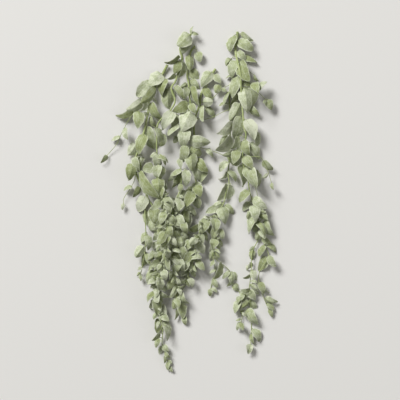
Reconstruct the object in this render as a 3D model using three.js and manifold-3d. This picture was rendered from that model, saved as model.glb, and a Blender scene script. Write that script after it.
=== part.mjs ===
// Trailing stems of broom creeper, a soft-leaved climber, cut and laid down on a surface.
// Millimetres, +Z up. X runs across the bunch and Y runs up the stems towards their cut ends.
// The origin lies on the surface, under the middle of the bunch.
import * as THREE from 'three';
import { mergeVertices } from 'three/addons/utils/BufferGeometryUtils.js';
import Module from 'manifold-3d';

const wasm = await Module();
wasm.setup();

// Leaves: a blade with a short stalk whose root is sunk in the stem.
const bladeThick = 0.8;
const stalkSunk = 0.3; // how far the root of the stalk reaches past the middle of the stem
const stalkShare = 0.12; // of the blade's length
const stalkLeast = 2.5;
const bigLeafFrom = 37; // a blade at least this long has one more pair of margin points
const tinyLeafTo = 23; // and one shorter than this has one pair less
const airGap = 0.35; // kept between a leaf and everything that it doesn't grow from
const leastHeight = 0.05; // of a leaf's lowest corner over the surface

// Half widths of the blade from its round base to its tip, as [share of length, share of half width, rib].
const bigBlade = [[0.05, 0.7, false], [0.32, 1, true], [0.74, 0.66, true], [1, 0, false]];
const smallBlade = [[0.24, 1, false], [0.68, 0.74, false], [1, 0, false]];
const tinyBlade = [[0.36, 1, false], [1, 0, false]];
const fullWidth = 0.62; // of the length: a leaf seen narrower than this is turned on its edge

// A leaf that would touch a neighbour is turned aside, then laid higher or lower, then tried smaller.
const turns = [0, 8, -8, 17, -17, 28, -28, 42, -42];
// Each layer is [rise of the blade's base, slope].
const above = [[4, 6], [7, 16], [10, 27], [13, 9], [4, 40], [-4, -6], [-7, -15], [18, 14]];
const below = [[-4, -6], [-7, -15], [-3, 4], [-11, -4], [4, 6], [7, 16], [10, 27], [13, 9]];
const shrinks = [1, 0.8, 0.62];

// Stems.
const stemSides = 5;
const rootFromEnd = 0.04; // a leaf's root keeps this share of a stretch away from its ends
const roughness = 0.85;

// One vine each. Its stems are centre lines of [x, y, z] with their thickness at both ends. A stem's even
// leaves are [bare length at the start, spacing, first leaf's length, last leaf's length, bare length at the
// tip], and the large leaves are [base x, base y, tip x, tip y, width].
const vines = [
  {
    name: 'left_vine',
    colour: 0xaab48c,
    seed: 4127,
    stems: [
      { // main
        thick: [7, 1.9],
        even: [400, 13.4, 33, 21, 104],
        route: [
          [-56, 347, 9], [-70, 321, 4], [-88, 292, 1.6], [-104, 266, 1.6], [-107, 243, 7],
          [-105, 230, 11], [-109, 209, 15], [-113, 188, 19], [-122, 152, 22], [-130, 126, 20],
          [-140, 100, 16], [-138, 69, 12], [-127, 40, 7], [-114, 17, 1.1], [-104, -4, 1.1],
          [-88, -32, 11], [-81, -69, 18], [-75, -108, 22], [-83, -160, 24], [-88, -199, 22],
          [-88, -238, 20], [-83, -277, 18], [-73, -311, 14], [-68, -347, 10], [-70, -376, 8],
          [-62, -402, 5], [-55, -425, 2], [-49, -443, 0.7],
        ],
      },
      { // left fork
        thick: [2.8, 1.6],
        even: null,
        route: [
          [-104, -4, 1.1], [-114, -32, 10], [-112, -87, 19], [-114, -134, 21], [-122, -181, 14],
          [-127, -204, 8],
        ],
      },
      { // upper shoot
        thick: [1.8, 1.4],
        even: null,
        route: [
          [-105, 230, 11], [-125, 228, 16], [-143, 221, 20], [-156, 204, 20], [-166, 186, 18],
          [-179, 160, 15], [-187, 142, 12], [-200, 126, 8], [-213, 112, 5],
        ],
      },
      { // lower shoot
        thick: [1.8, 1.4],
        even: null,
        route: [
          [-138, 69, 12], [-142, 46, 14], [-153, 25, 13], [-169, 1, 9], [-170, -14, 6],
        ],
      },
    ],
    leaves: [
      [-73, 325, -105, 292, 39], [-86, 285, -122, 246, 22], [-99, 303, -129, 260, 36],
      [-62, 311, -73, 266, 23], [-120, 254, -162, 229, 28], [-99, 264, -70, 240, 12],
      [-101, 247, -74, 202, 27], [-109, 251, -124, 226, 16], [-99, 214, -88, 186, 11],
      [-143, 222, -188, 207, 12], [-130, 225, -133, 181, 31], [-107, 220, -125, 217, 11],
      [-112, 186, -91, 125, 28], [-114, 165, -133, 116, 30], [-136, 139, -159, 112, 30],
      [-138, 110, -127, 69, 27], [-147, 91, -156, 47, 31], [-130, 66, -86, 1, 28],
      [-127, 30, -144, 3, 14], [-148, 31, -170, 21, 11], [-166, 183, -162, 153, 12],
      [-181, 162, -202, 150, 10], [-212, 112, -228, 92, 12], [-170, -13, -173, -30, 12],
      [-114, 6, -131, -34, 34], [-112, -32, -108, -70, 23], [-86, -31, -83, -72, 25],
      [-70, -157, -100, -176, 20], [-86, -261, -82, -303, 23], [-70, -274, -62, -318, 23],
      [-78, -311, -82, -350, 22], [-65, -318, -53, -368, 23], [-75, -350, -96, -368, 9],
      [-78, -363, -87, -386, 14], [-120, 108, -122, 92, 12], [-88, -238, -108, -268, 14],
      [-81, -243, -51, -256, 17], [-117, -124, -138, -152, 27], [-109, -90, -127, -116, 17],
      [-108, -95, -104, -134, 23], [-112, -139, -120, -178, 23], [-114, -144, -99, -176, 16],
      [-122, -178, -133, -186, 10], [-127, -191, -136, -202, 9], [-127, -199, -125, -214, 9],
      [-68, -381, -53, -398, 16], [-70, -384, -72, -407, 14], [-62, -399, -47, -415, 12],
      [-60, -407, -62, -428, 12], [-52, -420, -44, -430, 9], [-52, -425, -56, -446, 12],
      [-49, -436, -44, -451, 9],
    ],
  },
  {
    name: 'inner_vine',
    colour: 0xa4ae86,
    seed: 5903,
    stems: [
      { // main
        thick: [6.6, 1.9],
        even: [460, 13.4, 33, 23, 2],
        route: [
          [8, 428, 14], [-8, 415, 12], [-21, 396, 8], [-22, 381, 4], [-18, 365, 1.2],
          [-21, 339, 1.2], [-29, 324, 5], [-36, 303, 9], [-46, 285, 14], [-36, 254, 20],
          [-47, 230, 25], [-60, 217, 28], [-81, 191, 32], [-83, 152, 34], [-83, 121, 34],
          [-78, 87, 35], [-75, 48, 37], [-73, 22, 40], [-65, -4, 44], [-60, -30, 48],
          [-57, -69, 50], [-55, -108, 50], [-62, -147, 48], [-68, -181, 40], [-81, -209, 29.4],
          [-94, -230, 19.6],
        ],
      },
    ],
    leaves: [
      [3, 425, -30, 398, 37], [6, 428, 9, 447, 8], [6, 428, 25, 425, 12],
      [-3, 407, -16, 377, 30], [-23, 367, -60, 348, 11], [-23, 355, -38, 324, 23],
      [-17, 358, -21, 313, 14], [-34, 321, -56, 309, 12], [-55, 286, -52, 231, 34],
      [-39, 290, -13, 259, 14], [-44, 225, -68, 178, 34], [-52, 212, -74, 170, 14],
      [-83, 183, -75, 144, 17], [-68, 168, -75, 134, 20], [-81, 113, -53, 95, 14],
      [-86, 118, -101, 107, 11], [-83, 110, -75, 79, 22], [-91, 82, -120, 74, 30],
      [-78, 84, -78, 48, 36], [-81, 53, -78, 13, 36], [-75, 22, -62, -12, 30],
      [-70, 46, -57, 22, 16], [-75, -4, -94, -30, 22], [-62, -32, -62, -79, 25],
      [-57, -87, -68, -126, 25],
    ],
  },
  {
    name: 'middle_vine',
    colour: 0xa8b28a,
    seed: 7121,
    stems: [
      { // main
        thick: [5.2, 1.7],
        even: [400, 14, 34, 22, 60],
        route: [
          [16, 396, 6], [6, 384, 1.6], [0, 360, 1.6], [-5, 321, 5], [-1, 298, 10],
          [1, 266, 15], [3, 246, 19], [-5, 209, 23], [-13, 173, 25], [-18, 136, 25],
          [-23, 110, 23], [-21, 74, 22], [-20, 43, 22], [-23, 20, 24], [-35, -6, 27],
          [-42, -30, 29], [-39, -77, 31], [-47, -113, 31], [-44, -155, 29], [-39, -191, 25],
          [-31, -225, 19], [-34, -254, 11], [-23, -285, 4], [-13, -316, 0.6],
        ],
      },
    ],
    leaves: [
      [22, 381, 30, 354, 22], [1, 373, 4, 333, 25], [-3, 360, -10, 303, 17],
      [3, 332, 25, 311, 28], [3, 308, 27, 285, 22], [-5, 299, -23, 287, 12],
      [-5, 287, -12, 257, 17], [5, 290, 23, 235, 19], [-3, 248, -42, 225, 30],
      [5, 224, -20, 176, 47], [0, 191, 0, 157, 17], [-10, 181, -16, 131, 39],
      [-29, 160, -40, 144, 16], [5, 178, 18, 155, 14], [3, 150, 55, 143, 31],
      [3, 134, 31, 110, 27], [3, 116, 8, 72, 33], [-26, 103, -21, 78, 17],
      [-21, 77, -48, 58, 14], [-26, 74, -29, 34, 23], [-8, 74, -8, 31, 27],
      [-36, 53, -40, 27, 11], [-21, 38, -23, 17, 14], [-13, 22, -21, -14, 28],
      [-34, -6, -29, -38, 22], [-36, -35, -34, -74, 34], [-34, 220, -44, 181, 22],
      [-34, -217, -38, -261, 27], [-23, -243, -3, -274, 17], [-21, -269, -14, -311, 25],
      [-29, -287, -34, -316, 11], [-12, -306, -10, -329, 14], [-29, 191, -57, 166, 14],
      [4, 246, 18, 220, 19], [-39, -84, -25, -129, 23], [-34, -259, -42, -287, 19],
      [-39, -126, -21, -165, 22],
    ],
  },
  {
    name: 'short_vine',
    colour: 0xa2ac84,
    seed: 9463,
    stems: [
      { // main
        thick: [6.4, 1.8],
        even: [310, 13.4, 33, 22, 56],
        route: [
          [69, 337, 7], [57, 318, 4], [47, 300, 1.6], [38, 285, 1.6], [30, 266, 5],
          [29, 248, 8], [23, 230, 8], [16, 209, 7], [13, 186, 6], [14, 160, 6],
          [18, 134, 6], [16, 105, 6], [12, 74, 1], [18, 43, 1], [13, 17, 4],
          [-3, -9, 7], [-13, -43, 10], [-18, -82, 12], [-10, -121, 12], [0, -165, 9],
          [-3, -202, 3], [-8, -222, 0.7], [-18, -238, 4], [-29, -254, 7.4], [-36, -264, 7.4],
        ],
      },
      { // high twine
        thick: [1.8, 1.4],
        even: null,
        route: [
          [29, 248, 8], [44, 250, 11], [60, 259, 12], [73, 272, 11], [86, 285, 9],
          [99, 292, 6], [113, 298, 4],
        ],
      },
      { // mid twine
        thick: [1.8, 1.4],
        even: null,
        route: [
          [16, 209, 7], [36, 205, 11], [55, 209, 13], [68, 214, 13], [83, 222, 12],
          [96, 228, 10], [110, 231, 8.6],
        ],
      },
      { // low twine
        thick: [1.8, 1.4],
        even: null,
        route: [
          [18, 134, 6], [42, 129, 11], [68, 121, 15], [88, 113, 16], [109, 108, 15.3],
        ],
      },
    ],
    leaves: [
      [58, 329, 30, 290, 30], [39, 285, 60, 259, 25], [36, 251, 62, 251, 25],
      [65, 321, 83, 298, 20], [78, 295, 68, 274, 23], [44, 235, 68, 212, 20],
      [31, 240, 36, 199, 14], [23, 255, 3, 248, 14], [86, 285, 99, 277, 12],
      [44, 306, 42, 285, 12], [47, 129, 62, 108, 16], [16, 100, 47, 69, 27],
      [13, 92, 29, 48, 28], [16, 40, 34, 12, 25], [8, 17, -8, -20, 28],
      [-10, -38, -3, -79, 27], [3, -155, -13, -191, 22], [3, -176, 17, -204, 19],
      [-4, -204, 0, -230, 16],
    ],
  },
  {
    name: 'right_vine',
    colour: 0xacb68e,
    seed: 2749,
    stems: [
      { // main
        thick: [7, 2.6],
        even: [470, 28, 30, 24, 2],
        route: [
          [126, 433, 8], [125, 415, 4], [121, 396, 1.7], [121, 381, 1.7], [126, 355, 6],
          [133, 321, 10], [135, 287, 14], [138, 246, 18], [140, 217, 20], [143, 183, 22],
          [148, 162, 23], [140, 126, 24], [138, 105, 24], [143, 79, 21], [153, 48, 16],
          [157, 22, 12], [169, -22, 8], [179, -56, 6], [185, -82, 5],
        ],
      },
      { // outer fork
        thick: [2.6, 1.5],
        even: null,
        route: [
          [185, -82, 5], [190, -108, 6], [198, -124, 8], [207, -150, 12], [195, -170, 14],
          [182, -194, 12], [182, -222, 9], [190, -248, 6], [200, -272, 3], [213, -303, 0.5],
        ],
      },
      { // long fork
        thick: [2.6, 1.5],
        even: null,
        route: [
          [185, -82, 5], [179, -108, 6], [166, -134, 9], [162, -160, 12], [162, -181, 14],
          [159, -212, 14], [156, -238, 12], [159, -264, 9], [162, -311, 3], [162, -342, 0.5],
          [160, -376, 4], [156, -396, 7],
        ],
      },
      { // inner fork
        thick: [4.2, 1.8],
        even: [470, 18, 27, 19, 98],
        route: [
          [126, 355, 6], [117, 329, 2], [109, 295, 1], [105, 256, 4], [107, 204, 8],
          [107, 160, 10], [104, 121, 12], [104, 92, 13], [101, 66, 14], [104, 38, 14],
          [96, 14, 13], [90, -12, 12], [75, -40, 12], [73, -61, 14], [77, -77, 15],
          [68, -108, 14], [65, -134, 12], [62, -150, 11], [68, -181, 8], [70, -199, 6],
          [62, -209, 4], [56, -238, 0.5],
        ],
      },
      { // side twig
        thick: [1.8, 1.4],
        even: null,
        route: [
          [62, -150, 11], [83, -168, 7], [105, -188, 3], [114, -222, 0.5], [130, -240, 2],
          [133, -264, 5], [133, -290, 6], [138, -311, 6], [130, -337, 4],
        ],
      },
      { // back twig
        thick: [1.9, 1.4],
        even: [12, 14, 30, 21, 2],
        route: [
          [75, -40, 12], [49, -51, 19], [34, -72, 24], [23, -98, 26], [14, -129, 26],
          [8, -155, 24], [13, -176, 21],
        ],
      },
      { // upper shoot
        thick: [1.8, 1.4],
        even: null,
        route: [
          [135, 287, 14], [153, 286, 20], [172, 280, 22], [185, 270, 20], [199, 256, 16],
        ],
      },
      { // middle shoot
        thick: [1.8, 1.4],
        even: null,
        route: [
          [138, 105, 24], [159, 108, 27], [182, 108, 27], [192, 98, 25], [205, 69, 21],
          [214, 40, 16],
        ],
      },
      { // lower shoot
        thick: [1.8, 1.4],
        even: null,
        route: [
          [153, 48, 16], [172, 27, 19], [178, 4, 16],
        ],
      },
    ],
    leaves: [
      [133, 428, 165, 407, 17], [129, 411, 165, 384, 28], [118, 424, 105, 381, 22],
      [135, 358, 153, 303, 33], [140, 373, 177, 354, 23], [109, 363, 96, 346, 20],
      [122, 358, 110, 313, 27], [125, 381, 146, 360, 20], [140, 304, 162, 292, 19],
      [127, 318, 110, 261, 33], [103, 277, 94, 235, 11], [117, 318, 82, 316, 10],
      [143, 287, 151, 220, 44], [159, 287, 169, 243, 16], [166, 300, 179, 273, 25],
      [177, 280, 200, 304, 14], [169, 321, 179, 303, 7], [159, 238, 182, 211, 19],
      [133, 246, 107, 202, 30], [113, 194, 74, 166, 25], [133, 214, 122, 152, 36],
      [148, 204, 169, 152, 33], [174, 178, 182, 136, 14], [109, 162, 70, 124, 27],
      [159, 144, 187, 105, 23], [127, 126, 114, 90, 25], [133, 87, 140, 30, 23],
      [148, 84, 174, 27, 37], [164, 72, 183, 32, 22], [156, 20, 130, -9, 23],
      [166, 1, 200, -26, 27], [204, 257, 214, 230, 22], [198, 255, 192, 246, 7],
      [192, 98, 216, 72, 19], [205, 64, 191, 53, 9], [214, 40, 220, 22, 10],
      [178, 6, 182, -12, 12], [198, -56, 217, -98, 23], [203, -152, 179, -188, 28],
      [205, -150, 226, -176, 22], [198, -259, 229, -272, 17], [160, -352, 166, -380, 14],
      [166, -339, 185, -370, 19], [151, -287, 177, -329, 28], [98, 38, 78, -9, 23],
      [108, 35, 113, -14, 22], [86, -12, 58, -27, 20], [94, -16, 104, -58, 27],
      [75, -26, 43, -36, 20], [47, -53, 29, -90, 27], [73, -74, 60, -103, 23],
      [78, -79, 88, -105, 20], [29, -92, 31, -131, 27], [21, -160, 42, -186, 20],
      [101, 95, 77, 72, 19], [103, 72, 124, 46, 14], [103, 138, 82, 130, 14],
      [114, 121, 88, 110, 14], [104, 121, 122, 84, 25], [143, 147, 127, 121, 19],
      [140, 150, 156, 110, 25], [143, 108, 161, 77, 27], [104, 246, 77, 243, 7],
      [82, -23, 95, -66, 34], [52, -52, 36, -47, 8], [70, -72, 62, -105, 23],
      [68, -105, 60, -131, 23], [68, -118, 82, -133, 12], [83, -165, 68, -209, 16],
      [109, -191, 112, -225, 20], [104, -188, 86, -207, 14], [117, -222, 127, -240, 20],
      [179, -32, 205, -61, 23], [179, -58, 198, -98, 22], [170, -40, 155, -92, 22],
      [169, -17, 174, -58, 28], [177, -61, 169, -87, 19], [185, -84, 174, -108, 20],
      [190, -103, 213, -118, 19], [195, -121, 181, -150, 17], [203, -118, 226, -139, 14],
      [166, -134, 164, -161, 17], [156, -9, 139, -32, 19], [159, -32, 151, -53, 14],
      [203, -109, 229, -120, 11], [162, -165, 151, -186, 11], [164, -186, 170, -209, 19],
      [159, -199, 140, -207, 9], [161, -214, 179, -220, 9], [159, -222, 179, -239, 14],
      [182, -217, 195, -248, 20], [192, -225, 208, -246, 8], [133, -264, 118, -298, 19],
      [133, -254, 125, -274, 12], [156, -266, 133, -285, 16], [157, -266, 174, -287, 19],
      [156, -238, 172, -264, 22], [151, -240, 140, -269, 19], [159, -238, 134, -242, 14],
      [203, -272, 221, -290, 11], [209, -287, 216, -308, 14], [160, -378, 153, -404, 19],
      [138, -296, 150, -304, 8], [143, -292, 133, -300, 7], [135, -313, 121, -317, 9],
      [133, -321, 124, -342, 14], [134, -321, 140, -341, 14], [138, -243, 135, -264, 14],
      [153, -173, 150, -187, 11], [127, 160, 108, 126, 19], [138, 118, 127, 82, 19],
      [100, 69, 79, 47, 9], [26, -98, 9, -129, 20], [62, -139, 53, -160, 14],
      [65, -162, 55, -177, 10], [65, -147, 77, -156, 11], [68, -186, 52, -194, 8],
      [62, -209, 73, -231, 14], [56, -235, 55, -254, 14], [57, -234, 73, -243, 9],
      [114, -191, 121, -214, 16], [112, -214, 99, -230, 11], [169, -125, 157, -136, 9],
      [164, -233, 181, -248, 12], [125, 277, 110, 243, 14],
    ],
  },
];

const { degToRad, radToDeg, lerp } = THREE.MathUtils;
const upright = new THREE.Vector3(0, 0, 1);

// Seeded random numbers from 0 to 1, the same on every run.
function randomFrom(seed) {
  const multiplier = 16807;
  const modulus = 2147483647;
  let state = seed;
  return () => {
    state = (state * multiplier) % modulus;
    return state / modulus;
  };
}

function toSolid(geometry) {
  geometry.deleteAttribute('normal');
  geometry.deleteAttribute('uv');
  const merged = mergeVertices(geometry, 1e-5);
  const triangles = [];
  for (let k = 0; k < merged.index.count; k += 3) {
    const [a, b, c] = merged.index.array.slice(k, k + 3);
    if (a !== b && b !== c && c !== a) triangles.push(a, b, c);
  }
  return new wasm.Manifold(new wasm.Mesh({
    numProp: 3,
    vertProperties: new Float32Array(merged.attributes.position.array),
    triVerts: new Uint32Array(triangles),
  }));
}

// A stem is a closed cylinder bent along its centre line and tapered from the cut end to the tip.
function stemSolid({ route, thick }) {
  const points = route.map(place => new THREE.Vector3(...place));
  const last = points.length - 1;
  const tube = new THREE.CylinderGeometry(1, 1, last, stemSides, last);
  const corners = tube.attributes.position;
  for (let k = 0; k < corners.count; k++) {
    const ring = Math.round(last / 2 - corners.getY(k));
    const before = points[Math.max(ring - 1, 0)];
    const after = points[Math.min(ring + 1, last)];
    const along = after.clone().sub(before).normalize();
    const across = upright.clone().cross(along).normalize();
    const over = along.clone().cross(across);
    const radius = lerp(thick[0], thick[1], ring / last) / 2;
    const corner = points[ring].clone()
      .addScaledVector(across, corners.getX(k) * radius)
      .addScaledVector(over, corners.getZ(k) * radius);
    corners.setXYZ(k, corner.x, corner.y, corner.z);
  }
  return toSolid(tube);
}

// The point at a distance along a centre line, with the heading there: 0 is down the bunch, 90 is to +X.
function pointAlong(route, distance) {
  let left = distance;
  for (let k = 1; k < route.length; k++) {
    const from = new THREE.Vector3(...route[k - 1]);
    const to = new THREE.Vector3(...route[k]);
    const step = from.distanceTo(to);
    if (left <= step || k === route.length - 1) {
      const heading = radToDeg(Math.atan2(to.x - from.x, from.y - to.y));
      return { point: from.lerp(to, Math.min(left / step, 1)), heading };
    }
    left -= step;
  }
}

function routeLength(route) {
  let total = 0;
  for (let k = 1; k < route.length; k++) {
    total += new THREE.Vector3(...route[k - 1]).distanceTo(new THREE.Vector3(...route[k]));
  }
  return total;
}

// The place on any of a vine's stems that lies nearest to a leaf's base, seen from above.
function nearestOnStems(stems, x, y) {
  let best = null;
  for (const { route } of stems) {
    for (let k = 1; k < route.length; k++) {
      const from = new THREE.Vector3(...route[k - 1]);
      const to = new THREE.Vector3(...route[k]);
      const step = to.clone().sub(from);
      const raw = ((x - from.x) * step.x + (y - from.y) * step.y) / (step.x ** 2 + step.y ** 2);
      const share = Math.min(Math.max(raw, rootFromEnd), 1 - rootFromEnd);
      const point = from.lerp(to, share);
      const gap = Math.hypot(point.x - x, point.y - y);
      if (!best || gap < best.gap) best = { gap, point };
    }
  }
  return best.point;
}

function nature(random, mostRoll) {
  return {
    roll: mostRoll * (2 * random() - 1),
    arch: 0.07 + 0.13 * random(),
    fold: -0.4 + 0.58 * random(),
    layers: random() < 0.56 ? above : below,
  };
}

// The large leaves, each on the nearest stem of its vine.
function largeLeaves(vine, random) {
  return vine.leaves.map(([x, y, tipX, tipY, seenWidth]) => {
    const reach = Math.hypot(tipX - x, tipY - y);
    const width = Math.max(seenWidth, fullWidth * reach);
    const own = nature(random, 20);
    const onEdge = radToDeg(Math.acos(seenWidth / width)) * Math.sign(own.roll);
    return {
      ...own,
      root: nearestOnStems(vine.stems, x, y),
      base: [x, y],
      yaw: radToDeg(Math.atan2(tipX - x, y - tipY)),
      roll: own.roll * 0.5 + onEdge * 0.85,
      reach,
      width,
    };
  });
}

// The evenly spaced leaves of one stem, left and right in turn, smaller towards the tip.
function evenLeaves({ route, even }, random) {
  const leaves = [];
  if (!even) return leaves;
  const total = routeLength(route);
  const [start, spacing, longest, shortest, clearEnd] = even;
  let distance = start;
  let side = 1;
  while (distance < total - clearEnd) {
    const { point, heading } = pointAlong(route, distance);
    const share = (distance - start) / (total - start);
    const reach = lerp(longest, shortest, share) * (0.75 + 0.5 * random());
    const width = reach * (0.66 + 0.18 * random());
    const yaw = heading * 0.7 + side * (8 + 52 * random());
    const stalk = stalkLeast + stalkShare * reach;
    const base = [point.x + Math.sin(degToRad(yaw)) * stalk, point.y - Math.cos(degToRad(yaw)) * stalk];
    leaves.push({ root: point, base, yaw, reach, width, ...nature(random, 42) });
    distance += spacing * (0.75 + 0.5 * random());
    side = -side;
  }
  return leaves;
}

// Rows of points across the blade, from the stalk's root to the tip, each from left to right.
function leafRows(leaf, turn, [rise, slope], shrink) {
  const yaw = degToRad(leaf.yaw + turn);
  const pitch = degToRad(slope);
  const roll = degToRad(leaf.roll);
  const length = leaf.reach * shrink / Math.cos(pitch);
  const halfWidth = leaf.width * shrink / 2;
  const along = new THREE.Vector3().setFromSphericalCoords(1, Math.PI / 2 - pitch, yaw);
  along.set(along.x, -along.z, along.y);
  const level = along.clone().cross(upright).normalize();
  const face = level.clone().cross(along);
  const across = level.clone().multiplyScalar(Math.cos(roll)).addScaledVector(face, Math.sin(roll));
  const normal = across.clone().cross(along);
  const base = new THREE.Vector3(...leaf.base, leaf.root.z + rise);
  const sunk = leaf.root.clone().sub(base).normalize().multiplyScalar(stalkSunk);
  const rows = [[leaf.root.clone().add(sunk)]];
  const outline = length < tinyLeafTo ? tinyBlade : length < bigLeafFrom ? smallBlade : bigBlade;
  for (const [share, wide, rib] of outline) {
    const sides = wide === 0 ? [0] : rib ? [-wide, 0, wide] : [-wide, wide];
    const hump = 4 * leaf.arch * share * (1 - share) * length;
    rows.push(sides.map(side => base.clone()
      .addScaledVector(along, share * length)
      .addScaledVector(across, side * halfWidth)
      .addScaledVector(normal, hump + leaf.fold * Math.abs(side) * halfWidth)));
  }
  return { rows, normal, pointed: outline !== bigBlade };
}

// A closed blade of even thickness: the upper and the lower face are split alike, with a rim between them.
// The stalk of a big leaf keeps its thickness to the root, and a small one runs out to a point in the stem.
function bladeSolid({ rows, normal, pointed }, thick) {
  const points = rows.flat();
  const first = [];
  let count = 0;
  for (const row of rows) {
    first.push(count);
    count += row.length;
  }
  const corners = [thick / 2, -thick / 2].flatMap(offset => points.flatMap(
    (point, k) => point.clone().addScaledVector(normal, pointed && k === 0 ? 0 : offset).toArray()));
  const triangles = [];
  const addUpperAndLower = (a, b, c) => triangles.push(a, b, c, a + count, c + count, b + count);
  for (let r = 1; r < rows.length; r++) {
    const [near, far] = [rows[r - 1].length - 1, rows[r].length - 1];
    let [i, j] = [0, 0];
    while (i < near || j < far) {
      const a = first[r - 1] + i;
      const b = first[r] + j;
      if (j === far || (i < near && (i + 1) / near <= (j + 1) / far)) {
        addUpperAndLower(a, a + 1, b);
        i += 1;
      } else {
        addUpperAndLower(a, b + 1, b);
        j += 1;
      }
    }
  }
  const leftSide = first.slice(1, -1);
  const rightSide = leftSide.map((start, r) => start + rows[r + 1].length - 1);
  const nearEdge = rows[0].map((point, i) => i);
  const outline = [...leftSide, count - 1, ...rightSide.reverse(), ...nearEdge.reverse()];
  outline.forEach((p, k) => {
    const q = outline[(k + 1) % outline.length];
    triangles.push(p, q, q + count, p, q + count, p + count);
  });
  const blade = new THREE.BufferGeometry();
  blade.setAttribute('position', new THREE.Float32BufferAttribute(corners, 3));
  blade.setIndex(triangles);
  return toSolid(blade);
}

// Everything placed so far, stems first. A leaf fits where it clears all of it and stays off the surface.
const placed = [];
for (const vine of vines) {
  for (const stem of vine.stems) {
    const solid = stemSolid(stem);
    placed.push({ vine, stem: true, solid, box: solid.boundingBox() });
  }
}

function boxesMeet(a, b) {
  return [0, 1, 2].every(axis => a.min[axis] < b.max[axis] && b.min[axis] < a.max[axis]);
}

function leafFits(vine, { rows, normal, pointed }) {
  const spread = bladeThick + 2 * airGap;
  const lowest = Math.min(...rows.slice(1).flat().map(point => point.z)) - bladeThick / 2;
  if (lowest < leastHeight) return false;
  const whole = bladeSolid({ rows, normal, pointed }, spread);
  const blade = bladeSolid({ rows: rows.slice(1), normal, pointed: false }, spread);
  const box = whole.boundingBox();
  return placed.every(other => {
    if (!boxesMeet(box, other.box)) return true;
    const test = other.stem && other.vine === vine ? blade : whole;
    return test.intersect(other.solid).isEmpty();
  });
}

function placeLeaf(vine, leaf) {
  for (const shrink of shrinks) {
    for (const turn of turns) {
      for (const layer of leaf.layers) {
        const shape = leafRows(leaf, turn, layer, shrink);
        if (!leafFits(vine, shape)) continue;
        const solid = bladeSolid(shape, bladeThick);
        placed.push({ vine, stem: false, solid, box: solid.boundingBox() });
        return;
      }
    }
  }
}

for (const vine of vines) {
  vine.random = randomFrom(vine.seed);
  largeLeaves(vine, vine.random).forEach(leaf => placeLeaf(vine, leaf));
}
for (const vine of vines) {
  for (const stem of vine.stems) evenLeaves(stem, vine.random).forEach(leaf => placeLeaf(vine, leaf));
}

// The stems lie on the surface in places, where their undersides are pressed flat.
const roomWidth = 1200;
const roomHeight = 400;
const room = new THREE.BoxGeometry(roomWidth, roomWidth, roomHeight).translate(0, 0, roomHeight / 2);
const roomAbove = toSolid(room);

const bunch = new THREE.Group();
for (const vine of vines) {
  const pieces = placed.filter(item => item.vine === vine).map(item => item.solid);
  const whole = wasm.Manifold.union(pieces).intersect(roomAbove);
  const mesh = whole.getMesh();
  const geometry = new THREE.BufferGeometry();
  geometry.setAttribute('position', new THREE.BufferAttribute(new Float32Array(mesh.vertProperties), 3));
  geometry.setIndex(new THREE.BufferAttribute(new Uint32Array(mesh.triVerts), 1));
  geometry.computeVertexNormals();
  const material = new THREE.MeshStandardMaterial({ color: vine.colour, roughness, metalness: 0 });
  const node = new THREE.Mesh(geometry, material);
  node.name = vine.name;
  bunch.add(node);
}

export default bunch;
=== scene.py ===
import math

import bmesh
import bpy
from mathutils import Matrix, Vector, kdtree
from mathutils.geometry import interpolate_bezier


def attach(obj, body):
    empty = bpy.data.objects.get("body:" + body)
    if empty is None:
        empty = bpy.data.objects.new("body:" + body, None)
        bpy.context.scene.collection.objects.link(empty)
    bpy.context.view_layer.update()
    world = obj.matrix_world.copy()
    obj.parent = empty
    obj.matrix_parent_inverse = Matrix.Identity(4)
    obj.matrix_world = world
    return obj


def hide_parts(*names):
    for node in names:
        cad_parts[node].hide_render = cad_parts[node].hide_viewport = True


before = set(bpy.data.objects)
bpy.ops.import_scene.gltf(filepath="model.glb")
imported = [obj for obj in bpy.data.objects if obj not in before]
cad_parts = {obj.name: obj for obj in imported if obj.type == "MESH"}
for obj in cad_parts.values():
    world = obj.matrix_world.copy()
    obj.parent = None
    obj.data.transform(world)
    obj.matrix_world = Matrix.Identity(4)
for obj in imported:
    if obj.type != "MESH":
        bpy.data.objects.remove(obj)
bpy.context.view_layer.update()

# The viewpoint. The stems hung straight down in front of the lens. Now that they lie on the floor, the
# camera looks straight down on them from far off, with their cut ends at the top of the picture.
view_width = 1.04
view_centre = Vector((0.0286, -0.0039))
view_height = 6.0
view_depth = 50
camera_data = bpy.data.cameras.new("camera")
camera_data.lens = camera_data.sensor_width * view_height / view_width
camera_data.clip_end = view_depth
camera = bpy.data.objects.new("camera", camera_data)
camera.location = (*view_centre, view_height)
bpy.context.scene.collection.objects.link(camera)
bpy.context.scene.camera = camera

# The floor: one wide sheet of matt, warm white paper. It lies flat under the bunch and reaches far past the
# picture on all sides.
floor_reach = 6.0
paper_white = (0.78, 0.77, 0.745)
floor_mesh = bpy.data.meshes.new("floor")
floor_build = bmesh.new()
bmesh.ops.create_grid(floor_build, x_segments=1, y_segments=1, size=floor_reach)
floor_build.to_mesh(floor_mesh)
floor_build.free()
floor = bpy.data.objects.new("floor", floor_mesh)
bpy.context.scene.collection.objects.link(floor)
floor_paper = bpy.data.materials.new("floor_paper")
floor_paper.use_nodes = True
floor_shader = floor_paper.node_tree.nodes["Principled BSDF"]
floor_shader.inputs["Base Color"].default_value = (*paper_white, 1)
floor_shader.inputs["Roughness"].default_value = 0.9
floor_shader.inputs["Specular IOR Level"].default_value = 0.1
floor_mesh.materials.append(floor_paper)

# The light: a very large soft box, far off and high up beyond the cut ends on the left, lights the bunch
# evenly from end to end. A faint small one on the right and a pale room all round soften its shadows.
room_white = (1.0, 0.99, 0.95)
room_strength = 0.24


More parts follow.
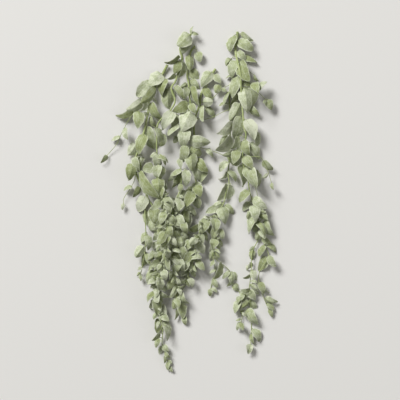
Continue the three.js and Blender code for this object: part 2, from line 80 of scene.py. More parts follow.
def soft_box(name, place, size, power):
    light_data = bpy.data.lights.new(name, "AREA")
    light_data.shape = "SQUARE"
    light_data.size = size
    light_data.energy = power
    light = bpy.data.objects.new(name, light_data)
    light.location = place
    light.rotation_euler = Vector(place).to_track_quat("Z", "Y").to_euler()
    bpy.context.scene.collection.objects.link(light)


soft_box("key_light", (-7.5, 9.75, 9.75), size=5.75, power=2780)
soft_box("side_light", (2.6, -0.6, 1.6), size=1.2, power=6)
room = bpy.data.worlds.new("room")
room.use_nodes = True
room.node_tree.nodes["Background"].inputs["Color"].default_value = (*room_white, 1)
room.node_tree.nodes["Background"].inputs["Strength"].default_value = room_strength
bpy.context.scene.world = room

bpy.context.scene.view_settings.view_transform = "Standard"

# The left vine: a cut stem that arches out to the left, with two thin free shoots and a fork low down. It
# is woody and downy, with thin, soft leaves. It grew as one piece and lies loose on the floor. The rules
# and finishes that are made for it here serve the other vines too.
mm = 0.001

# How its leaves are set, in millimetres and degrees. The stems in the frame have theirs by the same rules.
stalk_least = 2.5
stalk_share = 0.12  # of the blade's length
full_width = 0.62  # of the blade's length
even_widths = (0.66, 0.84)  # of the blade's length
uneven = (0.75, 1.25)  # of the length or the spacing that the rule gives
even_turns = (8, 60)  # away from the stem's heading
heading_share = 0.7
large_roll = 20
even_roll = 42
own_roll_share = 0.5
edge_roll_share = 0.85
arches = (0.07, 0.2)  # of the blade's length
folds = (-0.4, 0.18)  # below 0 the halves hang, and above it they stand up
turns = (0, 8, -8, 17, -17, 28, -28, 42, -42)
above_share = 0.56  # of the leaves try the layers above their stem first
above = ((4, 6), (7, 16), (10, 27), (13, 9), (4, 40), (-4, -6), (-7, -15), (18, 14))  # (rise, slope)
below = ((-4, -6), (-7, -15), (-3, 4), (-11, -4), (4, 6), (7, 16), (10, 27), (13, 9))
shrinks = (1, 0.8, 0.62)
solid_thick = 0.8
root_from_end = 0.04  # of a straight stretch of the route
match_within = 0.05 * mm
draw_factor = 16807
draw_count = 2147483647


def seeded(seed):
    state = seed
    while True:
        state = state * draw_factor % draw_count
        yield state / draw_count


def between(limits, draw):
    least, most = limits
    return least + (most - least) * next(draw)


def nature(draw, most_roll):
    """How a leaf rolls, arches and folds, and the layers over and under its stem that it tries in turn."""
    return {
        "roll": between((-most_roll, most_roll), draw),
        "arch": between(arches, draw),
        "fold": between(folds, draw),
        "layers": above if next(draw) < above_share else below,
    }


def nearest_on_stems(stems, x, y):
    best = None
    for _, _, route in stems:
        for start, end in zip(route, route[1:]):
            start, end = Vector(start), Vector(end)
            step = end - start
            raw = ((x - start.x) * step.x + (y - start.y) * step.y) / (step.x**2 + step.y**2)
            share = min(max(raw, root_from_end), 1 - root_from_end)
            point = start.lerp(end, share)
            gap = math.hypot(point.x - x, point.y - y)
            if best is None or gap < best[0]:
                best = (gap, point)
    return best[1]


def pointing(stems, x, y, tip_x, tip_y):
    """A leaf by the place of its base and of its tip, as seen from above."""
    return {
        "root": nearest_on_stems(stems, x, y),
        "base": (x, y),
        "yaw": math.degrees(math.atan2(tip_x - x, y - tip_y)),
        "reach": math.hypot(tip_x - x, tip_y - y),
    }


def on_stalk(root, yaw, stalk_length, reach, width):
    """A leaf by its stalk, which leaves the stem at the root and turns by the yaw."""
    turned = math.radians(yaw)
    base = (root.x + math.sin(turned) * stalk_length, root.y - math.cos(turned) * stalk_length)
    return {"root": root, "base": base, "yaw": yaw, "reach": reach, "width": width}


def large_leaves(stems, rows, draw):
    """The leaves that can be made out one by one. One that shows narrow is rolled onto its edge."""
    for *ends, seen_width in rows:
        leaf = nature(draw, large_roll) | pointing(stems, *ends)
        width = max(seen_width, full_width * leaf["reach"])
        on_edge = math.copysign(math.degrees(math.acos(seen_width / width)), leaf["roll"])
        leaf["roll"] = leaf["roll"] * own_roll_share + on_edge * edge_roll_share
        yield leaf | {"width": width}


def even_leaves(stem, draw):
    """The leaves between them, on both sides of a stem by turns and smaller towards its end."""
    _, even, route = stem
    if not even:
        return
    total = sum((Vector(b) - Vector(a)).length for a, b in zip(route, route[1:]))
    start, spacing, longest, shortest, clear_end = even
    distance, side = start, 1
    while distance < total - clear_end:
        left = distance
        for a, b in zip(route, route[1:]):
            step = (Vector(b) - Vector(a)).length
            if left <= step or b is route[-1]:
                break
            left -= step
        root = Vector(a).lerp(Vector(b), min(left / step, 1))
        heading = math.degrees(math.atan2(b[0] - a[0], a[1] - b[1]))
        share = (distance - start) / (total - start)
        reach = ((1 - share) * longest + share * shortest) * between(uneven, draw)
        width = reach * between(even_widths, draw)
        yaw = heading * heading_share + side * between(even_turns, draw)
        stalk_length = stalk_least + stalk_share * reach
        yield nature(draw, even_roll) | on_stalk(root, yaw, stalk_length, reach, width)
        distance += spacing * between(uneven, draw)
        side = -side


def lay_out(leaf, turn, layer, shrink):
    """The leaf's place and directions, in millimetres, for one way of turning it."""
    rise, slope = layer
    yaw = math.radians(leaf["yaw"] + turn)
    pitch = math.radians(slope)
    roll = math.radians(leaf["roll"])
    along = Vector((math.sin(yaw) * math.cos(pitch), -math.cos(yaw) * math.cos(pitch), math.sin(pitch)))
    level = along.cross(Vector((0, 0, 1))).normalized()
    across = level * math.cos(roll) + level.cross(along) * math.sin(roll)
    return {
        "root": leaf["root"],
        "base": Vector((*leaf["base"], leaf["root"].z + rise)),
        "along": along,
        "across": across,
        "normal": across.cross(along),
        "length": leaf["reach"] * shrink / math.cos(pitch),
        "half": leaf["width"] * shrink / 2,
        "arch": leaf["arch"],
        "fold": leaf["fold"],
    }


def settle(leaf, corners):
    """The way in which the frame's solid holds this leaf, known by the corner at its tip, or None."""
    for shrink in shrinks:
        for turn in turns:
            for layer in leaf["layers"]:
                laid = lay_out(leaf, turn, layer, shrink)
                tip = laid["base"] + laid["along"] * laid["length"] + laid["normal"] * solid_thick / 2
                if corners.find(tip * mm)[2] < match_within:
                    return laid
    return None


# Young leaves stand in pairs beside the stalks of the evenly set ones. Other leaves are listed one by one,
# where a stem would show bare.
young_share = 0.8  # of the stalks have a young pair
young_turns = (25, 75)
young_lengths = (8, 16)
young_width = 0.6  # of its length
young_stalk = 2
young_rise = 2
young_slopes = (15, 60)
young_roll = 35
added_slope = -8
added_roll = 30


def young_leaves(laid, draw):
    heading = math.degrees(math.atan2(laid["along"].x, -laid["along"].y))
    for side in (-1, 1):
        yaw = heading + side * between(young_turns, draw)
        reach = between(young_lengths, draw)
        leaf = on_stalk(laid["root"], yaw, young_stalk, reach, young_width * reach)
        leaf |= nature(draw, young_roll)
        yield lay_out(leaf, 0, (young_rise, between(young_slopes, draw)), 1)


def added_leaves(stems, rows, draw):
    for *ends, width, rise in rows:
        leaf = nature(draw, added_roll) | pointing(stems, *ends) | {"width": width}
        yield lay_out(leaf, 0, (rise, added_slope), 1)


# What differs from leaf to leaf. Young leaves are paler. Low leaves are darker, as painted shade deep in the
# bunch, and the leaves that each vine lists by place are paler, as painted light.
tip_rounds = (0.46, 0.76)  # the higher, the slimmer the outer part of the blade
tip_pinches = (0, 0.42)  # the higher, the finer the point
wave_heights = (0.05, 0.21)  # of the half width
wave_counts = (1.5, 3.5)  # from the base to the tip
edge_lifts = (-0.25, 0.35)  # of the half width, at the tip
half_widths = (0.86, 1.14)  # of the width that the outline gives
curls = (0.1, 0.7)
twists = (-40, 40)
sways = (-0.25, 0.25)
tones = (0.14, 0.64)  # the higher, the paler
# Painted shade: leaves are paler the higher they lie, so low ones deep in the bunch are darker.
high_place = 45  # over the floor
painted_depth_shade_gain = 0.1
grown_length = 40
young_gain = 0.4
# Painted light: the leaves that a vine lists by place are made this much paler.
painted_light_gain = 0.35
same_place = 1


def shaped(laid, draw, lit_places):
    """The leaf with an outline, waves, curl, twist and tone of its own, with painted shade on low leaves.
    The last argument lists by place the leaves that get painted light.
    """
    # Painted shade: a leaf low over the floor, deep in the bunch, is darker.
    high = min(laid["base"].z / high_place, 1)
    young = max(1 - laid["length"] / grown_length, 0)
    # Painted light: a leaf at one of the listed places is made paler.
    painted_lit = any((laid["base"].xy - Vector(place)).length < same_place for place in lit_places)
    gain = painted_depth_shade_gain * high + young_gain * young + painted_light_gain * painted_lit
    return laid | {
        "tip_round": between(tip_rounds, draw),
        "tip_pinch": between(tip_pinches, draw),
        "wave": between(wave_heights, draw),
        "waves": between(wave_counts, draw),
        "phase": next(draw),
        "edges": (between(edge_lifts, draw), between(edge_lifts, draw)),
        "halves": (between(half_widths, draw), between(half_widths, draw)),
        "curl": between(curls, draw),
        "twist": math.radians(between(twists, draw)),
        "sway": between(sways, draw),
        "tone": between(tones, draw) + gain,
    }


# The stems are soft round tubes through the places of their routes, and the stalks are thinner ones that
# run on under the blades as midribs.
bend_steps = 6
stem_sides = 10
stalk_sides = 6
stalk_root_thick = 2.4
stalk_neck = (0.55, 1.8)  # (share of the way from the stem to the stalk's middle, thickness)
stalk_thick = 1.5
ribs = (  # (share of the blade's length, thickness)
    (0.0, 1.3), (0.12, 1.15), (0.28, 1.0), (0.46, 0.9), (0.66, 0.75), (0.84, 0.55),
)
droop_from = 0.45
cut_face_within = 0.8 * mm
tube_weld = 0.001 * mm


def bend(stem, forward):
    """A stem's route as a soft curve: points of (place, radius), in metres. Forward raises some places."""
    (thick, thin), _, route = stem
    lifts = dict(forward)
    knots = [Vector((x, y, z + lifts.get((x, y, z), 0))) * mm for x, y, z in route]
    last = len(knots) - 1
    points = []
    for k in range(last):
        before, after = knots[max(k - 1, 0)], knots[min(k + 2, last)]
        leaving = knots[k] + (knots[k + 1] - before) / 6
        coming = knots[k + 1] - (after - knots[k]) / 6
        curve = interpolate_bezier(knots[k], leaving, coming, knots[k + 1], bend_steps + 1)
        for step in range(bend_steps):
            share = (k + step / bend_steps) / last
            points.append((curve[step], (thick + (thin - thick) * share) / 2 * mm))
    return points + [(knots[-1], thin / 2 * mm)]


def spine(laid, share):
    """A place on the middle line of the blade, in millimetres. It arches up, sways and droops to the tip."""
    lift = 4 * laid["arch"] * share * (1 - share) - laid["curl"] * max(share - droop_from, 0) ** 2
    sideways = laid["sway"] * share * share * (1 - share)
    place = laid["along"] * share + laid["normal"] * lift + laid["across"] * sideways
    return laid["base"] + place * laid["length"]


def stalk(laid, root):
    """The stalk from the stem's middle to the blade, and on along the middle of the blade."""
    base = laid["base"] * mm
    reach = (base - root).length
    middle = (root.lerp(base, 0.5) + base - laid["along"] * reach * 0.5) / 2
    neck_share, neck_thick = stalk_neck
    points = [
        (root, stalk_root_thick / 2 * mm),
        (root.lerp(middle, neck_share), neck_thick / 2 * mm),
        (middle, stalk_thick / 2 * mm),
    ]
    return points + [(spine(laid, share) * mm, thick / 2 * mm) for share, thick in ribs]


def tubes(name, paths, sides):
    """A bmesh of closed tubes along paths of (place, radius)."""
    lines = bpy.data.curves.new(name, "CURVE")
    lines.dimensions = "3D"
    lines.bevel_depth = 1
    lines.bevel_resolution = sides // 2 - 2
    lines.use_fill_caps = True
    for points in paths:
        spline = lines.splines.new("POLY")
        spline.points.add(len(points) - 1)
        for corner, (place, radius) in zip(spline.points, points):
            corner.co = (*place, 1)
            corner.radius = radius
    holder = bpy.data.objects.new(name, lines)
    bpy.context.scene.collection.objects.link(holder)
    mesh = bpy.data.meshes.new_from_object(holder.evaluated_get(bpy.context.evaluated_depsgraph_get()))
    bpy.data.objects.remove(holder)
    build = bmesh.new()
    build.from_mesh(mesh)
    bmesh.ops.remove_doubles(build, verts=build.verts, dist=tube_weld)
    for face in build.faces:
        face.smooth = True
    return build


def finished(build, name, finishes):
    """The object of a bmesh, which is used up."""
    mesh = bpy.data.meshes.new(name)
    build.to_mesh(mesh)
    build.free()
    for finish in finishes:
        mesh.materials.append(finish)
    piece = bpy.data.objects.new(name, mesh)
    bpy.context.scene.collection.objects.link(piece)
    return piece


def stem_piece(name, vine_stems, leaves, forward):
    """The object of a vine's stems and stalks. Where it lies on the floor its underside is pressed flat."""
    curves = [bend(stem, forward) for stem in vine_stems]
    places = [place for points in curves for place, _ in points]
    near = kdtree.KDTree(len(places))
    for k, place in enumerate(places):
        near.insert(place, k)
    near.balance()
    build = tubes(name, curves, stem_sides)
    cut_end = places[0]
    for face in build.faces:
        if (face.calc_center_median() - cut_end).length < cut_face_within:
            face.material_index = 1
            face.smooth = False
    stalks = tubes(name, [stalk(laid, near.find(laid["root"] * mm)[0]) for laid in leaves], stalk_sides)
    stalk_mesh = bpy.data.meshes.new(name)
    stalks.to_mesh(stalk_mesh)
    stalks.free()
    build.from_mesh(stalk_mesh)
    bpy.data.meshes.remove(stalk_mesh)
    for vert in build.verts:
        vert.co.z = max(vert.co.z, 0)
    return finished(build, name, (stem_skin, cut_wood))


# The blades: each starts as a flat grid that is drawn out to the leaf's outline, arched, folded along the
# midrib, waved at the margin and curled at the tip, and then gets its thickness.
blade_grids = ((44, 4, 11), (30, 4, 8), (15, 4, 6), (0, 2, 4))  # (least length, columns, rows)
base_round = 0.3  # the lower, the more square the base of the blade
pinch_power = 5
margin_wave = 0.06  # of the half width
other_side_lag = 0.25  # of a wave
fold_gain = 1.7
twist_about = 0.3  # of the blade's length
blade_thick = 0.6
least_over_floor = 0.15
blade_weld = 0.01 * mm
crease_from = 24


def outline(share, tip_round, tip_pinch):
    """The share of the half width at a share of the blade's length."""
    widest = base_round / (base_round + tip_round)
    peak = widest**base_round * (1 - widest) ** tip_round
    return share**base_round * (1 - share) ** tip_round / peak * (1 - tip_pinch * share**pinch_power)


def add_blade(whole, laid):
    along, across, normal = laid["along"], laid["across"], laid["normal"]
    half = laid["half"]
    columns, rows = next(grid for least, *grid in blade_grids if laid["length"] >= least)
    leaf = bmesh.new()
    blade_map = leaf.loops.layers.uv.new("blade")
    leaf_tone = leaf.verts.layers.float.new("tone")
    bmesh.ops.create_grid(leaf, x_segments=columns, y_segments=rows, size=1)
    where = {vert: (vert.co.x, (1 - math.cos(math.pi * (vert.co.y + 1) / 2)) / 2) for vert in leaf.verts}
    for face in leaf.faces:
        for loop in face.loops:
            side, share = where[loop.vert]
            loop[blade_map].uv = ((side + 1) / 2, share)
    for vert, (side, share) in where.items():
        far = side > 0
        wavy = math.sin(2 * math.pi * (laid["waves"] * share + laid["phase"] + other_side_lag * far))
        wide = outline(share, laid["tip_round"], laid["tip_pinch"]) * half
        wide *= laid["halves"][far] + margin_wave * wavy
        lift = fold_gain * laid["fold"] * abs(side) * wide
        lift += (laid["wave"] * wavy * (1 - share) + laid["edges"][far] * share) * half * side * side
        turn = laid["twist"] * (share - twist_about)
        turned_across = across * math.cos(turn) + normal * math.sin(turn)
        turned_normal = normal * math.cos(turn) - across * math.sin(turn)
        place = spine(laid, share) + turned_across * side * wide + turned_normal * (lift + blade_thick / 2)
        place.z = max(place.z, least_over_floor + blade_thick)
        vert.co = place * mm
    bmesh.ops.remove_doubles(leaf, verts=leaf.verts, dist=blade_weld)
    leaf.normal_update()
    bmesh.ops.solidify(leaf, geom=leaf.faces[:], thickness=blade_thick * mm)
    leaf.normal_update()
    for face in leaf.faces:
        face.smooth = True
        # The faces turned away from the face side get the back's finish, with its painted shade.
        if face.normal.dot(normal) < 0:
            face.material_index = 1
    for edge in leaf.edges:
        edge.smooth = edge.calc_face_angle(0) < math.radians(crease_from)
    for vert in leaf.verts:
        vert[leaf_tone] = laid["tone"]
        vert.co.z = max(vert.co.z, least_over_floor * mm)
    mesh = bpy.data.meshes.new("blade")
    leaf.to_mesh(mesh)
    leaf.free()
    whole.from_mesh(mesh)
    bpy.data.meshes.remove(mesh)


def leaf_piece(name, leaves):
    whole = bmesh.new()
    for laid in leaves:
        add_blade(whole, laid)
    return finished(whole, name, (leaf_face, leaf_back_shaded))


def grow(vine, seed, stems, large, added=(), forward=(), lit_places=()):
    """A vine's two pieces, which stand for its solid in the frame."""
    solid = bpy.data.objects[vine].data
    corners = kdtree.KDTree(len(solid.vertices))
    for vertex in solid.vertices:
        corners.insert(vertex.co, vertex.index)
    corners.balance()
    draw = seeded(seed)
    leaves = [settle(leaf, corners) for leaf in large_leaves(stems, large, draw)]
    even = [settle(leaf, corners) for stem in stems for leaf in even_leaves(stem, draw)]
    settled = [laid for laid in leaves + even if laid]
    for laid in filter(None, even):
        if next(draw) < young_share:
            settled += young_leaves(laid, draw)
    settled += added_leaves(stems, added, draw)
    settled = [shaped(laid, draw, lit_places) for laid in settled]
    stem = stem_piece(vine + "_stems", stems, settled, forward)
    blades = leaf_piece(vine + "_leaves", settled)
    for piece in (stem, blades):
        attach(piece, "root")
        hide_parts(vine)


# The leaf's finish: a pale grey green with a fine nap that shines softly, a whitish margin that is
# partly its downy edge and partly a painted highlight along the rim, five veins from the base and finer
# ones between them. The back is painted darker and yellower, as painted shade on the underside, and the
# veins stand out on it.
midrib_width = 0.1  # of the half width, as are the distances of the veins from the midrib
vein_width = 0.05
inner_vein = (0.3, 0.2)  # (distance at the base, what it gains up to the tip)
outer_vein = (0.62, 0.3)
outer_vein_strength = 0.7
side_vein_lean = 0.28
side_vein_count = 5.5
side_vein_width = 0.09
side_vein_strength = 0.55
# The whitish margin is partly the leaf's downy edge and partly a painted highlight along the rim.
margin_and_highlight_width = 0.22
margin_and_highlight_gain = 0.5
tone_gain = 0.8
patch_scale = 90.0
patch_darkening = 0.6
mottle_scale = 330.0
mottle_gain = 0.6
nap_scale = 1500.0
nap_height = 0.1
crumple_scale = 110.0
crumple_height = 1.6
nap_tint = (0.93, 0.96, 0.86)


def node(tree, kind, inputs, **settings):
    made = tree.nodes.new(kind)
    for name, value in settings.items():
        setattr(made, name, value)
    for key, value in inputs.items():
        if isinstance(value, bpy.types.NodeSocket):
            tree.links.new(value, made.inputs[key])
        else:
            made.inputs[key].default_value = value
    return made


def maths(tree, operation, *values):
    return node(tree, "ShaderNodeMath", dict(enumerate(values)), operation=operation).outputs[0]


def noise(tree, place, scale, detail):
    return node(tree, "ShaderNodeTexNoise", {"Vector": place, "Scale": scale, "Detail": detail}).outputs[0]


def line(tree, distance, width):
    """1 on a line and 0 at its width from it and further."""
    inputs = {"Value": distance, "From Min": 0.0, "From Max": width, "To Min": 1.0, "To Max": 0.0}
    return node(tree, "ShaderNodeMapRange", inputs, interpolation_type="SMOOTHSTEP").outputs[0]


def long_vein(tree, side, share, course):
    """1 on a vein that runs from the base towards the tip beside the midrib."""
    at_base, gain = course
    apart = maths(tree, "SUBTRACT", side, maths(tree, "MULTIPLY_ADD", share, gain, at_base))
    return line(tree, maths(tree, "ABSOLUTE", apart), vein_width)


def ramp(tree, value, stops):
    made = node(tree, "ShaderNodeValToRGB", {"Fac": value})
    made.color_ramp.elements.remove(made.color_ramp.elements[1])
    for k, (place, colour) in enumerate(stops):
        element = made.color_ramp.elements[0] if k == 0 else made.color_ramp.elements.new(place)
        element.position = place
        element.color = (*colour, 1)
    return made.outputs[0]


def leaf_finish(name, colours, vein_lift, vein_height, sheen):
    material = bpy.data.materials.new(name)
    material.use_nodes = True
    tree = material.node_tree
    shader = tree.nodes["Principled BSDF"]
    blade_map = node(tree, "ShaderNodeUVMap", {}, uv_map="blade").outputs[0]
    blade = node(tree, "ShaderNodeSeparateXYZ", {0: blade_map})
    side = maths(tree, "ABSOLUTE", maths(tree, "MULTIPLY_ADD", blade.outputs[0], 2.0, -1.0))
    share = blade.outputs[1]
    inner = long_vein(tree, side, share, inner_vein)
    outer = maths(tree, "MULTIPLY", long_vein(tree, side, share, outer_vein), outer_vein_strength)
    rising = maths(tree, "MULTIPLY_ADD", side, -side_vein_lean, share)
    steps = maths(tree, "PINGPONG", maths(tree, "MULTIPLY", rising, side_vein_count), 0.5)
    finer = maths(tree, "MULTIPLY", line(tree, steps, side_vein_width), side_vein_strength)
    veins = line(tree, side, midrib_width)
    for more in (inner, outer, finer):
        veins = maths(tree, "MAXIMUM", veins, more)
    place = node(tree, "ShaderNodeTexCoord", {}).outputs["Object"]
    patches = maths(tree, "SUBTRACT", noise(tree, place, patch_scale, 3.0), patch_darkening)
    # Each leaf's tone: its own random tone, with painted shade on low leaves and painted light on the listed
    # ones.
    tone = node(tree, "ShaderNodeAttribute", {}, attribute_name="tone").outputs["Fac"]
    blend = maths(tree, "MULTIPLY_ADD", tone, tone_gain, patches)
    blend = maths(tree, "MULTIPLY_ADD", noise(tree, place, mottle_scale, 2.0), mottle_gain, blend)
    blend = maths(tree, "MULTIPLY_ADD", veins, vein_lift, blend)
    # A whitish line at the margin: partly the downy edge, partly a painted highlight along the rim.
    margin_and_highlight = line(tree, maths(tree, "SUBTRACT", 1.0, side), margin_and_highlight_width)
    blend = maths(tree, "MULTIPLY_ADD", margin_and_highlight, margin_and_highlight_gain, blend)
    tree.links.new(ramp(tree, blend, colours), shader.inputs["Base Color"])
    height = maths(tree, "MULTIPLY", noise(tree, place, crumple_scale, 2.0), crumple_height)
    height = maths(tree, "MULTIPLY_ADD", noise(tree, place, nap_scale, 2.0), nap_height, height)
    height = maths(tree, "MULTIPLY_ADD", veins, vein_height, height)
    bump = node(tree, "ShaderNodeBump", {"Height": height, "Strength": 0.7, "Distance": 1.0 * mm})
    tree.links.new(bump.outputs[0], shader.inputs["Normal"])
    shader.inputs["Roughness"].default_value = 0.72
    shader.inputs["Specular IOR Level"].default_value = 0.25
    shader.inputs["Sheen Weight"].default_value = sheen
    shader.inputs["Sheen Roughness"].default_value = 0.45
    shader.inputs["Sheen Tint"].default_value = (*nap_tint, 1)
    return material


face_greens = (  # (place on the ramp, colour)
    (0.0, (0.155, 0.188, 0.046)),
    (0.4, (0.298, 0.338, 0.152)),
    (0.75, (0.435, 0.48, 0.305)),
    (1.0, (0.63, 0.66, 0.5)),
)
# Painted shade: the back's greens are darker and yellower than the face's, as an underside in shade.
shaded_back_greens = (
    (0.0, (0.145, 0.178, 0.044)),
    (0.5, (0.245, 0.284, 0.105)),
    (1.0, (0.38, 0.41, 0.23)),
)
leaf_face = leaf_finish("leaf_face", face_greens, vein_lift=0.24, vein_height=-0.5, sheen=0.55)
# The back gets the darker, yellower greens as painted shade.
leaf_back_shaded = leaf_finish("leaf_back_shaded", shaded_back_greens, vein_lift=0.25, vein_height=1.2, sheen=0.35)

# The stem's skin: a downy yellow green, patchy and finely rough. At the cut the pale wood shows.
stem_patch_scale = 70.0
stem_rough_scale = 900.0
stem_greens = (
    (0.3, (0.25, 0.31, 0.1)),
    (0.55, (0.39, 0.45, 0.19)),
    (0.75, (0.5, 0.54, 0.31)),
)
stem_skin = bpy.data.materials.new("stem_skin")
stem_skin.use_nodes = True
stem_tree = stem_skin.node_tree
stem_place = node(stem_tree, "ShaderNodeTexCoord", {}).outputs["Object"]
stem_patches = noise(stem_tree, stem_place, stem_patch_scale, 4.0)
stem_rough = noise(stem_tree, stem_place, stem_rough_scale, 2.0)
stem_bump = node(stem_tree, "ShaderNodeBump", {"Height": stem_rough, "Strength": 0.4, "Distance": 0.3 * mm})
stem_shader = stem_tree.nodes["Principled BSDF"]
stem_tree.links.new(ramp(stem_tree, stem_patches, stem_greens), stem_shader.inputs["Base Color"])
stem_tree.links.new(stem_bump.outputs[0], stem_shader.inputs["Normal"])
stem_shader.inputs["Roughness"].default_value = 0.65
stem_shader.inputs["Sheen Weight"].default_value = 0.3
stem_shader.inputs["Sheen Tint"].default_value = (*nap_tint, 1)

cut_grain_scale = 1200.0
cut_browns = (
    (0.35, (0.3, 0.26, 0.12)),
    (0.6, (0.56, 0.52, 0.32)),
)
cut_wood = bpy.data.materials.new("cut_wood")
cut_wood.use_nodes = True
cut_tree = cut_wood.node_tree
cut_place = node(cut_tree, "ShaderNodeTexCoord", {}).outputs["Object"]
cut_grain = noise(cut_tree, cut_place, cut_grain_scale, 3.0)
cut_shader = cut_tree.nodes["Principled BSDF"]
cut_tree.links.new(ramp(cut_tree, cut_grain, cut_browns), cut_shader.inputs["Base Color"])
cut_shader.inputs["Roughness"].default_value = 0.8

# Its rows, in millimetres: a stem is (thickness at both ends, even leaves, route), the even leaves are None
# or (start, spacing, longest, shortest, clear end), and a large leaf is (x, y, tip x, tip y, seen width).
left_stems = (
    (  # main
        (7, 1.9),
        (400, 13.4, 33, 21, 104),
        (
            (-56, 347, 9), (-70, 321, 4), (-88, 292, 1.6), (-104, 266, 1.6), (-107, 243, 7),
            (-105, 230, 11), (-109, 209, 15), (-113, 188, 19), (-122, 152, 22), (-130, 126, 20),
            (-140, 100, 16), (-138, 69, 12), (-127, 40, 7), (-114, 17, 1.1), (-104, -4, 1.1),
            (-88, -32, 11), (-81, -69, 18), (-75, -108, 22), (-83, -160, 24), (-88, -199, 22),
            (-88, -238, 20), (-83, -277, 18), (-73, -311, 14), (-68, -347, 10), (-70, -376, 8),
            (-62, -402, 5), (-55, -425, 2), (-49, -443, 0.7),
        ),
    ),
    (  # left fork
        (2.8, 1.6),
        None,
        (
            (-104, -4, 1.1), (-114, -32, 10), (-112, -87, 19), (-114, -134, 21), (-122, -181, 14),
            (-127, -204, 8),
        ),
    ),
    (  # upper shoot
        (1.8, 1.4),
        None,
        (
            (-105, 230, 11), (-125, 228, 16), (-143, 221, 20), (-156, 204, 20), (-166, 186, 18),
            (-179, 160, 15), (-187, 142, 12), (-200, 126, 8), (-213, 112, 5),
        ),
    ),
    (  # lower shoot
        (1.8, 1.4),
        None,
        (
            (-138, 69, 12), (-142, 46, 14), (-153, 25, 13), (-169, 1, 9), (-170, -14, 6),
        ),
    ),
)
left_large = (
    (-73, 325, -105, 292, 39), (-86, 285, -122, 246, 22), (-99, 303, -129, 260, 36),
    (-62, 311, -73, 266, 23), (-120, 254, -162, 229, 28), (-99, 264, -70, 240, 12),
    (-101, 247, -74, 202, 27), (-109, 251, -124, 226, 16), (-99, 214, -88, 186, 11),
    (-143, 222, -188, 207, 12), (-130, 225, -133, 181, 31), (-107, 220, -125, 217, 11),
    (-112, 186, -91, 125, 28), (-114, 165, -133, 116, 30), (-136, 139, -159, 112, 30),
    (-138, 110, -127, 69, 27), (-147, 91, -156, 47, 31), (-130, 66, -86, 1, 28), (-127, 30, -144, 3, 14),
    (-148, 31, -170, 21, 11), (-166, 183, -162, 153, 12), (-181, 162, -202, 150, 10),
    (-212, 112, -228, 92, 12), (-170, -13, -173, -30, 12), (-114, 6, -131, -34, 34),
    (-112, -32, -108, -70, 23), (-86, -31, -83, -72, 25), (-70, -157, -100, -176, 20),
    (-86, -261, -82, -303, 23), (-70, -274, -62, -318, 23), (-78, -311, -82, -350, 22),
    (-65, -318, -53, -368, 23), (-75, -350, -96, -368, 9), (-78, -363, -87, -386, 14),
    (-120, 108, -122, 92, 12), (-88, -238, -108, -268, 14), (-81, -243, -51, -256, 17),
    (-117, -124, -138, -152, 27), (-109, -90, -127, -116, 17), (-108, -95, -104, -134, 23),
    (-112, -139, -120, -178, 23), (-114, -144, -99, -176, 16), (-122, -178, -133, -186, 10),
    (-127, -191, -136, -202, 9), (-127, -199, -125, -214, 9), (-68, -381, -53, -398, 16),
    (-70, -384, -72, -407, 14), (-62, -399, -47, -415, 12), (-60, -407, -62, -428, 12),
    (-52, -420, -44, -430, 9), (-52, -425, -56, -446, 12), (-49, -436, -44, -451, 9),
)
# The leaves set one by one: (x, y, tip x, tip y, width, rise over the stem).
left_added = (
    (-141.7, 107.9, -131.3, 68.9, 22.1, 9),
)
# The leaves painted paler, as painted light, by the places where their blades begin.
left_lit_places = (
    (-73, 325), (-99, 303), (-120, 254), (-136, 139), (-114, 6), (-70, -274), (-65, -318),
)
grow(
    "left_vine", 4127, left_stems, left_large,
    added=left_added, lit_places=left_lit_places,
)

# The inner vine: a cut stem close beside the left one, half hidden by its leaves. It is woody and downy,
# with thin, soft leaves. It grew as one piece, without a fork, and lies loose between its neighbours.
inner_stems = (
    (  # main
        (6.6, 1.9),
        (460, 13.4, 33, 23, 2),
        (
            (8, 428, 14), (-8, 415, 12), (-21, 396, 8), (-22, 381, 4), (-18, 365, 1.2), (-21, 339, 1.2),
            (-29, 324, 5), (-36, 303, 9), (-46, 285, 14), (-36, 254, 20), (-47, 230, 25), (-60, 217, 28),
            (-81, 191, 32), (-83, 152, 34), (-83, 121, 34), (-78, 87, 35), (-75, 48, 37), (-73, 22, 40),
            (-65, -4, 44), (-60, -30, 48), (-57, -69, 50), (-55, -108, 50), (-62, -147, 48),
            (-68, -181, 40), (-81, -209, 29.4), (-94, -230, 19.6),
        ),
    ),
)
inner_large = (
    (3, 425, -30, 398, 37), (6, 428, 9, 447, 8), (6, 428, 25, 425, 12), (-3, 407, -16, 377, 30),
    (-23, 367, -60, 348, 11), (-23, 355, -38, 324, 23), (-17, 358, -21, 313, 14), (-34, 321, -56, 309, 12),
    (-55, 286, -52, 231, 34), (-39, 290, -13, 259, 14), (-44, 225, -68, 178, 34), (-52, 212, -74, 170, 14),
    (-83, 183, -75, 144, 17), (-68, 168, -75, 134, 20), (-81, 113, -53, 95, 14), (-86, 118, -101, 107, 11),
    (-83, 110, -75, 79, 22), (-91, 82, -120, 74, 30), (-78, 84, -78, 48, 36), (-81, 53, -78, 13, 36),
    (-75, 22, -62, -12, 30), (-70, 46, -57, 22, 16), (-75, -4, -94, -30, 22), (-62, -32, -62, -79, 25),
    (-57, -87, -68, -126, 25),
)
inner_added = (
    (-83.2, 114.4, -81.9, 79.3, 23.4, 7), (-79.3, 87.1, -78, 48.1, 31.2, 8),
    (-72.8, 32.5, -72.8, -3.9, 23.4, 8), (-70.2, 111.8, -59.8, 84.5, 10.4, 8),
)
# The leaves painted paler, as painted light, by the places where their blades begin.
inner_lit_places = (
    (3, 425), (-55, 286), (-44, 225),
)
grow(
    "inner_vine", 5903, inner_stems, inner_large,
    added=inner_added, lit_places=inner_lit_places,
)

